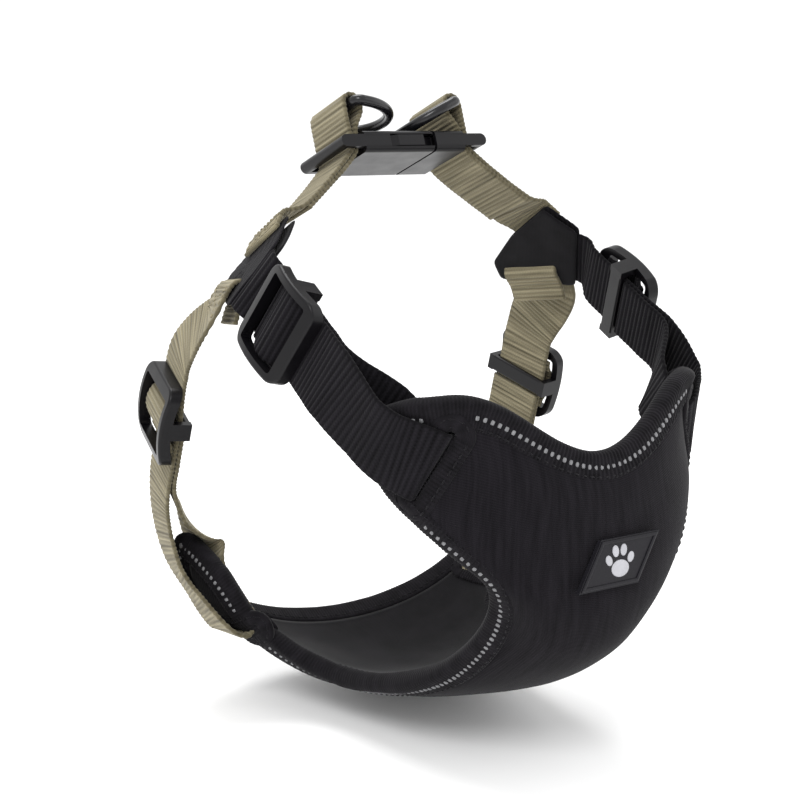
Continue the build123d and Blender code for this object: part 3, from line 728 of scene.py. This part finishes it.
def dashes(name, track, inset, height, pitch, size, material):
    """Small raised pads of reflective thread along the binding."""
    points, normals = on_track(track, inset)
    points, normals = closed(points), closed(normals)
    length = arc_lengths(points)
    count = int(length[-1] / pitch)
    verts, faces, uv = [], [], []
    half_profile = [(-1, 0, -0.3), (-0.94, 0.7, 0.5), (-0.6, 1, 0.9)]
    profile = half_profile + [(0, 1, 1)] + [(-u, spread, top) for u, spread, top in half_profile[::-1]]
    across = [(-1, -0.6), (-0.85, 0.55), (-0.35, 1), (0.35, 1), (0.85, 0.55), (1, -0.6)]
    for k in range(count):
        place = (k + 0.5) * length[-1] / count
        at = [place - size[0] / 2, place, place + size[0] / 2]
        p = on_line(at, length, points)
        if near_slots(p[1]) < SLOT_EDGING + 0.8:
            continue
        n = normalised(on_line(at[1], length, normals))
        t = normalised(p[2] - p[0])
        s = np.cross(n, t)
        base = len(verts)
        for u, spread, top in profile:
            for v, lift in across:
                spot = p[1] + t * u * size[0] / 2 + s * v * max(spread, 0.35) * size[1] / 2
                rise = height + size[2] * (lift * top if lift > 0 else lift)
                verts.append(spot + n * rise)
                uv.append((place + u, v))
        columns = len(across)
        for i in range(len(profile) - 1):
            for j in range(columns - 1):
                a = base + i * columns + j
                faces.append((a, a + 1, a + columns + 1, a + columns))
        for i in range(len(profile) - 1):
            a = base + i * columns
            faces.append((a, a + columns, a + 2 * columns - 1, a + columns - 1))
        faces.append(tuple(base + j for j in range(columns))[::-1])
        faces.append(tuple(base + (len(profile) - 1) * columns + j for j in range(columns)))
    return build(name, verts, faces, material, uv)


reflective_dashes = dashes("reflective_dashes", edge_track, 5.8, 0.52, 2.5, (1.25, 1.75, 0.42), reflective)
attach(reflective_dashes, "harness")
seam_points, seam_normals = on_track(edge_track, BINDING - 1.1)
seam_normals = closed(seam_normals)
seam_line = (closed(seam_points) + seam_normals * SEAM_RISE, seam_normals)
inside_points, inside_normals = on_track(edge_track, 7.6)
inside_normals = closed(inside_normals)
inside_depth = PANEL_THICKNESS + INSIDE_SEAM_RISE
inside_line = (closed(inside_points) - inside_normals * inside_depth, -inside_normals)
edge_stitches = stitches("edge_binding_stitches", [seam_line, inside_line], black_thread,
                         length=2.0, gap=1.0, radius=0.24)
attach(edge_stitches, "harness")

# ---------------------------------------------------------------- strap routes

PATCH_TOP = np.array((57.5, -6.0, 65.0))
PATCH_FRONT = np.array((71.5, -17.0, 52.0))
PATCH_REAR = np.array((66.5, 4.0, 48.0))
PATCH_FOLD = np.array((0.34, -0.93, 0.15))
PATCH_TOP_SEAM = np.array((-4.0, -23.5, 10.5))
PATCH_OUTLINE = [
    (-13, -1.5), (13, -1.5), (15.5, 14), (-8, 30.5), (-34.5, 9), (-30, 1.5),
]
SHOULDER_RUN = np.array((0.025, -0.868, -0.496))
SHOULDER_ACROSS = np.array((-0.26, -0.49, 0.83))
SHOULDER_ADJUSTER = np.array((72.3, -41.1, 37.9))
GIRTH_RUN = np.array((0.03, 0.32, -0.947))
GIRTH_ACROSS = np.array((0.17, -0.975, -0.10))
GIRTH_ADJUSTER = np.array((82.0, 29.5, -1.0))
SHOULDER_LINE = (SHOULDER_ADJUSTER, SHOULDER_RUN, SHOULDER_ACROSS)
GIRTH_LINE = (GIRTH_ADJUSTER, GIRTH_RUN, GIRTH_ACROSS)
RETURN_DROP = 1.9               # how far the inner ply lies below the outer one
TURN_TOP = 5.6                  # height of the webbing's turn over an adjuster's middle bar


def square_to(v, along):
    along = normalised(np.asarray(along, float))
    v = np.asarray(v, float)
    return normalised(v - along * (v @ along))


PATCH_NORMAL = normalised(np.cross(PATCH_FRONT - PATCH_TOP, PATCH_REAR - PATCH_TOP))
PATCH_X = square_to(PATCH_TOP_SEAM, PATCH_NORMAL)
PATCH_Y = np.cross(PATCH_NORMAL, PATCH_X)
GIRTH_LEAVES = np.cross(PATCH_NORMAL, square_to(PATCH_FOLD, PATCH_NORMAL))


def along_slot(slot, offsets):
    """Strap stations round a slot: offsets list the side, the station and the height."""
    across = slot_frame(slot)[2]
    stations = []
    for side_step, station_step, height in offsets:
        side, station = slot[0] + side_step, slot[1] + station_step
        normal = panel_normal(side, station)
        stations.append((panel(side, station) + normal * height, square_to(across, normal)))
    return stations


def on_run(origin, run, across, distance, height=0.0):
    run = normalised(run)
    normal = np.cross(square_to(across, run), run)
    return origin + run * distance + normal * height, square_to(across, run)


def shoulder_outer():
    leave = square_to(SHOULDER_RUN, PATCH_NORMAL)
    across = square_to(SHOULDER_ACROSS, PATCH_NORMAL)
    run = SHOULDER_LINE
    return [
        (PATCH_FRONT - leave * 9, across), (PATCH_FRONT + leave * 4, across),
        on_run(*run, -17), on_run(*run, 0), on_run(*run, 16), on_run(*run, 31.5),
    ] + along_slot(SHOULDER_SLOT, [
        (0.30, -0.045, 4.6), (0.16, -0.024, 4.2), (0.06, -0.009, 3.4), (0.008, -0.001, 1.6),
        (-0.002, 0.0, -1.2), (-0.002, 0.0, -3.0),
    ])


def shoulder_inner():
    run = SHOULDER_LINE
    return along_slot(SHOULDER_SLOT, [
        (0.0, 0.0, -4.0), (0.004, -0.001, -7.0), (0.04, -0.006, -8.2), (0.16, -0.024, -8.8),
        (0.29, -0.043, -8.8),
    ]) + [
        on_run(*run, 29.5, -2.4), on_run(*run, 18, -RETURN_DROP), on_run(*run, 4.6, -RETURN_DROP),
    ]


def girth_outer():
    across = square_to(PATCH_FOLD, PATCH_NORMAL)
    fold = []
    for along, height in ((14, -4.9), (8, -3.2), (2.2, -3.2), (0.4, -1.9), (-0.4, 0),
                          (0.4, 1.9), (2.2, 3.2), (8, 3.2), (14, 2.6)):
        fold.append((PATCH_REAR + GIRTH_LEAVES * along + PATCH_NORMAL * height, across))
    run = GIRTH_LINE
    return fold + [
        on_run(*run, -22), on_run(*run, 0), on_run(*run, 14), on_run(*run, 28.5),
        (np.array((82.6, 40.0, -38.0)), (0.18, -0.96, -0.20)),
        (np.array((81.6, 38.6, -49.0)), (0.16, -0.97, -0.18)),
        (np.array((79.4, 35.2, -60.0)), (0.15, -0.97, -0.10)),
        (np.array((75.4, 29.5, -70.0)), (0.18, -0.97, 0.05)),
    ] + along_slot(GIRTH_SLOT, [
        (0.06, 0.004, 3.6), (0.012, 0.0, 1.2), (0.001, 0.0, -1.2), (0.0, 0.0, -3.0),
    ])


def girth_inner():
    run = GIRTH_LINE
    return along_slot(GIRTH_SLOT, [
        (0.0, 0.0, -4.0), (0.004, 0.0, -7.0), (0.04, 0.006, -7.8), (0.2, 0.036, -7.8),
        (0.34, 0.052, -7.8),
    ]) + [
        (np.array((74.2, 38.4, -42.0)), (0.3, -0.94, -0.18)),
        on_run(*run, 26.5, -2.3), on_run(*run, 16, -RETURN_DROP), on_run(*run, 4.6, -RETURN_DROP),
    ]


def wrap_route(origin, run, across):
    """The turn of webbing over an adjuster's middle bar."""
    low = PLY + 0.3
    half = [(10.4, low), (7.6, low + 0.6), (4.6, TURN_TOP - 1.1), (1.6, TURN_TOP)]
    route = half + [(-x, z) for x, z in reversed(half)]
    return [on_run(origin, run, across, x, z) for x, z in reversed(route)]


# Saddle frame: the buckle, its webbing and the rings, tilted nose up.
SADDLE_ORIGIN = np.array((0, 4, 93), float)
PITCH = math.radians(-20)
SADDLE_Y = np.array((0, math.cos(PITCH), math.sin(PITCH)))
SADDLE_Z = np.array((0, -math.sin(PITCH), math.cos(PITCH)))
RING_BAR = (22.3, 15.5)
WEB_SLOT_X = 32.0 - 4.6 - 5.4 / 2


def saddle(x, y, z):
    return SADDLE_ORIGIN + np.array((x, 0, 0)) + SADDLE_Y * y + SADDLE_Z * z


def back_route():
    """The webbing from the patch, through the buckle, round the ring's bar and back down."""
    local = PATCH_TOP - SADDLE_ORIGIN
    low_x, low_z = local[0], local @ SADDLE_Z
    below_x, below_z = WEB_SLOT_X + 1.4, -4.0
    step = PLY / 2 + 0.1
    reach = math.hypot(low_x - below_x, low_z - below_z)
    ax, az = (low_x - below_x) / reach, (low_z - below_z) / reach
    loop = 2.0 + 0.45 + PLY / 2

    def beside(distance, side):
        return (below_x + distance * ax - side * step * az, below_z + distance * az + side * step * ax)

    stations = []
    for below_seam in (5.0, -3.0):
        stations.append((PATCH_TOP + PATCH_Y * below_seam + PATCH_NORMAL * 3.25, -PATCH_X))
    route = [beside(reach - 11, 1), beside(2, 1), (WEB_SLOT_X + step, -1.5), (WEB_SLOT_X + step, 6.0)]
    for k in range(9):
        angle = math.pi * k / 8
        route.append((RING_BAR[0] + loop * math.cos(angle), RING_BAR[1] + loop * math.sin(angle)))
    route += [(RING_BAR[0] - loop, RING_BAR[1] - 3.0), (WEB_SLOT_X - step - 1.2, 6.0)]
    route += [(WEB_SLOT_X - step, -1.5), beside(1, -1), beside(reach - 11, -1)]
    return stations + [(saddle(x, 0, z), SADDLE_Y) for x, z in route]


WEBBING = {"webbing_black": (webbing_black, BLACK_RIB), "webbing_tan": (webbing_tan, TAN_RIB)}
for kind, slot_name, outer_route, inner_route, line, seed in (
        ("shoulder", "webbing_black", shoulder_outer(), shoulder_inner(), SHOULDER_LINE, 1),
        ("girth", "webbing_tan", girth_outer(), girth_inner(), GIRTH_LINE, 4)):
    material, rib = WEBBING[slot_name]
    bend = ("harness", f"{kind}_slide", inner_route[3][0], inner_route[-2][0])
    place_pair(strap(f"{kind}_webbing_left", outer_route, material, rib, seed=seed),
               f"{kind}_strap", "harness")
    place_pair(strap(f"{kind}_webbing_inner_left", inner_route, material, rib, seed=seed + 1),
               f"{kind}_strap_return", bend=bend)
    turn = strap(f"{kind}_slide_turn_left", wrap_route(*line), material, rib, seed=seed + 2, waviness=0.0)
    place_pair(turn, f"{kind}_adjuster_wrap", f"{kind}_slide_SIDE")

back_left = strap("back_webbing_cloth_left", back_route(), webbing_tan, TAN_RIB, seed=7, waviness=0.1)
back_right = mirrored(back_left, "back_webbing_cloth_right")
for piece, end in ((back_left, "left"), (back_right, "right")):
    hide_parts(f"back_webbing_{end}")
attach(back_right, "harness")
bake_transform(back_left)

# ---------------------------------------------------------------- junction patches


def patch_cloth(name, height, thickness, material, ribbed, seed):
    """Flat sewn patch with rounded corners and soft edges; its weave follows the shoulder strap."""
    weave_way = square_to(SHOULDER_RUN, PATCH_NORMAL)
    weave_across = np.cross(PATCH_NORMAL, weave_way)
    corners = [Vector((x, y)) for x, y in PATCH_OUTLINE]
    outline = []
    for k, corner in enumerate(corners):
        before, after = corners[k - 1], corners[(k + 1) % len(corners)]
        a = corner + (before - corner).normalized() * 2.2
        b = corner + (after - corner).normalized() * 2.2
        for s in range(5):
            u = s / 4
            outline.append((1 - u) ** 2 * a + 2 * u * (1 - u) * corner + u * u * b)
    outline = np.array([tuple(p) for p in outline])
    loop = closed(outline)
    distance = arc_lengths(loop)
    places = np.arange(0, distance[-1], 0.8)
    ring = np.stack([np.interp(places, distance, loop[:, k]) for k in range(2)], -1)
    centre = ring.mean(0)
    shrink = [(0.0, 0.0), (0.15, 0.0), (0.35, 0.0), (0.55, 0.0), (0.75, 0.0), (0.88, 0.0), (0.94, -0.02),
              (0.975, -0.12), (0.995, -0.35), (1.0, -0.5)]
    verts, uv = [], []
    for sign in (1, -1):
        for r, drop in shrink[1:] if sign == 1 else shrink[-2:0:-1]:
            flat = centre + (ring - centre) * r
            spot = PATCH_TOP + flat[:, :1] * PATCH_X + flat[:, 1:] * PATCH_Y
            ripple = 0.22 * soft_noise(spot, 17, seed)
            level = height + thickness / 2 + sign * thickness * (0.5 + drop)
            ribs = 0.12 * np.sin(2 * math.pi * (spot @ weave_way) / BLACK_RIB) if ribbed else 0.0
            verts.append(spot + PATCH_NORMAL * (level + ripple + ribs)[:, None])
            uv.append(np.stack([spot @ weave_way, (spot - PATCH_FRONT) @ weave_across], -1))
    faces = loft_faces(len(verts), len(ring))
    return build(name, np.vstack(verts), faces, material, np.vstack(uv))


place_pair(patch_cloth("junction_patch_cloth_left", 0.9, 1.0, patch_weave, True, 31),
           "junction_patch_outer", "harness")
place_pair(patch_cloth("junction_patch_inner_left", -1.9, 1.0, lining, False, 32),
           "junction_patch_lining", "harness")

# ---------------------------------------------------------------- box stitching


def box_stitches(name, stations, first, last, half, material):
    """A sewn box with a cross, on a strap's outer face between two distances along it."""
    points, across = zip(*stations)
    path, _, turn, normal, places = smooth_path(points, across, 0.3)

    def line(a, b):
        share = np.linspace(0, 1, 24)
        at = a[0] + (b[0] - a[0]) * share
        out = (a[1] + (b[1] - a[1]) * share)[:, None]
        base, side, up = (on_line(at, places, field) for field in (path, turn, normal))
        return base + side * out + up * (PLY / 2 + 0.2), up

    corners = [(first, -half), (first, half), (last, half), (last, -half)]
    lines = [line(corners[k], corners[(k + 1) % 4]) for k in range(4)]
    lines += [line(corners[0], corners[2]), line(corners[1], corners[3])]
    return stitches(name, lines, material, length=1.9, gap=0.8, radius=0.24)


place_pair(box_stitches("back_webbing_stitches_left", back_route(), 1.2, 7.4, 10.6, tan_thread),
           None, "harness")
place_pair(box_stitches("girth_fold_stitches_left", girth_outer(), 23.0, 33.0, 10.4, tan_thread),
           None, "harness")

# ---------------------------------------------------------------- badge: raised rim and paw print

BADGE_TOP = 2.3                 # height of the badge's face over the panel


def badge_point(x, y, height):
    """Point over the badge's face; x to the dog's left and y up, in mm."""
    normal = panel_normal(0.0, BADGE_STATION)
    up = np.cross(normal, (1.0, 0.0, 0.0))
    return panel(0.0, BADGE_STATION) + np.array((x, 0.0, 0.0)) + up * y + normal * (BADGE_TOP + height)


def badge_pads(name, pads, material):
    """Low domed ellipses: each pad is (x, y, radius along x, radius along y, turn in degrees)."""
    verts, faces, uv = [], [], []
    around = 28
    rings = ((1.0, -0.2), (1.0, 0.10), (0.94, 0.22), (0.6, 0.28))
    for x, y, rx, ry, turn in pads:
        base = len(verts)
        c, s = math.cos(math.radians(turn)), math.sin(math.radians(turn))
        for r, height in rings:
            for k in range(around):
                angle = 2 * math.pi * k / around
                px, py = rx * r * math.cos(angle), ry * r * math.sin(angle)
                verts.append(badge_point(x + c * px - s * py, y + s * px + c * py, height))
                uv.append((px, py))
        faces += loft_faces(len(rings), around, base=base)
    return build(name, verts, faces, material, uv)


def badge_rim(name, length, height, lean, width, material):
    """A raised band just inside the badge's leaning outline."""
    verts, uv = [], []
    profile = ((0.5, -0.2), (0.5, 0.3), (0.5 + width * 0.3, 0.42), (0.5 + width * 0.7, 0.42),
               (0.5 + width, 0.3), (0.5 + width, -0.2))
    for inset, lift in profile:
        half_x, half_y = length / 2 - inset * 1.15, height / 2 - inset
        slant = lean / height
        for sx, sy in ((-1, -1), (1, -1), (1, 1), (-1, 1)):
            x, y = sx * half_x + sy * half_y * slant, sy * half_y
            verts.append(badge_point(x, y, lift))
            uv.append((x, y))
    faces = loft_faces(len(profile), 4, closed_rows=True)
    return build(name, verts, faces, material, uv, smooth=False)


PAW = [(0.0, -2.1, 3.7, 2.8, 0), (-4.6, 1.0, 1.3, 1.8, 24), (-1.7, 3.7, 1.35, 1.95, 8),
       (1.7, 3.7, 1.35, 1.95, -8), (4.6, 1.0, 1.3, 1.8, -24)]
for piece in (badge_pads("badge_paw_print", PAW, badge_print),
              badge_rim("badge_rim", 25.0, 16.0, 10.0, 1.1, badge_rubber)):
    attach(piece, "harness")

# ---------------------------------------------------------------- hard parts: the CAD's own shapes

HARD_MATERIALS = {"buckle": acetal, "shoulder_adjuster": acetal, "girth_adjuster": acetal,
                  "d_ring": gloss_metal, "badge": badge_rubber}

for name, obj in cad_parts.items():
    for start, material in HARD_MATERIALS.items():
        if name.startswith(start) and "wrap" not in name:
            obj.data.materials.clear()
            obj.data.materials.append(material)

# ---------------------------------------------------------------- camera

VIEW_TURN = math.radians(-34)
VIEW_RISE = math.radians(10)
VIEW_DISTANCE = 0.6
VIEW_LENS = 70.65
VIEW_SENSOR = 36
BACK = Vector((math.sin(VIEW_TURN) * math.cos(VIEW_RISE),
               -math.cos(VIEW_TURN) * math.cos(VIEW_RISE),
               math.sin(VIEW_RISE)))
camera_data = bpy.data.cameras.new("camera")
camera_data.lens = VIEW_LENS
camera_data.sensor_width = VIEW_SENSOR
camera = bpy.data.objects.new("camera", camera_data)
camera.location = BACK * VIEW_DISTANCE
camera.rotation_mode = "QUATERNION"
camera.rotation_quaternion = (-BACK).to_track_quat("-Z", "Y")
bpy.context.scene.collection.objects.link(camera)
bpy.context.scene.camera = camera

# ---------------------------------------------------------------- floor and light

FLOOR_REACH = 4                 # metres, from the middle to each side
FLOOR_DROP = 0.004
WORLD_STRENGTH = 1.12

floor = bpy.data.meshes.new("floor")
floor.from_pydata([(x * FLOOR_REACH, y * FLOOR_REACH, 0) for x, y in ((-1, -1), (1, -1), (1, 1), (-1, 1))],
                  [], [(0, 1, 2, 3)])
floor_obj = bpy.data.objects.new("floor", floor)
floor_obj.location.z = cad_low.z - FLOOR_DROP
bpy.context.scene.collection.objects.link(floor_obj)
floor_paint, _, floor_shader = blank("floor_paint", 0.9, Specular_IOR_Level=0.1)
floor_shader.inputs["Base Color"].default_value = (1.0, 1.0, 1.0, 1)
floor.materials.append(floor_paint)

world = bpy.data.worlds.new("studio")
world.use_nodes = True
background = world.node_tree.nodes["Background"]
background.inputs[0].default_value = (1, 1, 1, 1)
background.inputs[1].default_value = WORLD_STRENGTH
bpy.context.scene.world = world


def softbox(name, place, target, size, power):
    data = bpy.data.lights.new(name, "AREA")
    data.shape = "RECTANGLE"
    data.size, data.size_y = size
    data.energy = power
    obj = bpy.data.objects.new(name, data)
    obj.location = place
    obj.rotation_mode = "QUATERNION"
    obj.rotation_quaternion = (Vector(target) - Vector(place)).to_track_quat("-Z", "Y")
    bpy.context.scene.collection.objects.link(obj)
    return obj


softbox("key_light", (-0.9, -0.9, 1.1), (0, 0, 0), (0.6, 0.6), 10)
softbox("fill_light", (0.9, -0.7, 0.5), (0, 0, 0), (0.9, 0.9), 2)
softbox("top_light", (0.1, 0.5, 1.3), (0, 0, 0), (0.8, 0.6), 8)

bpy.context.scene.view_settings.view_transform = "Standard"
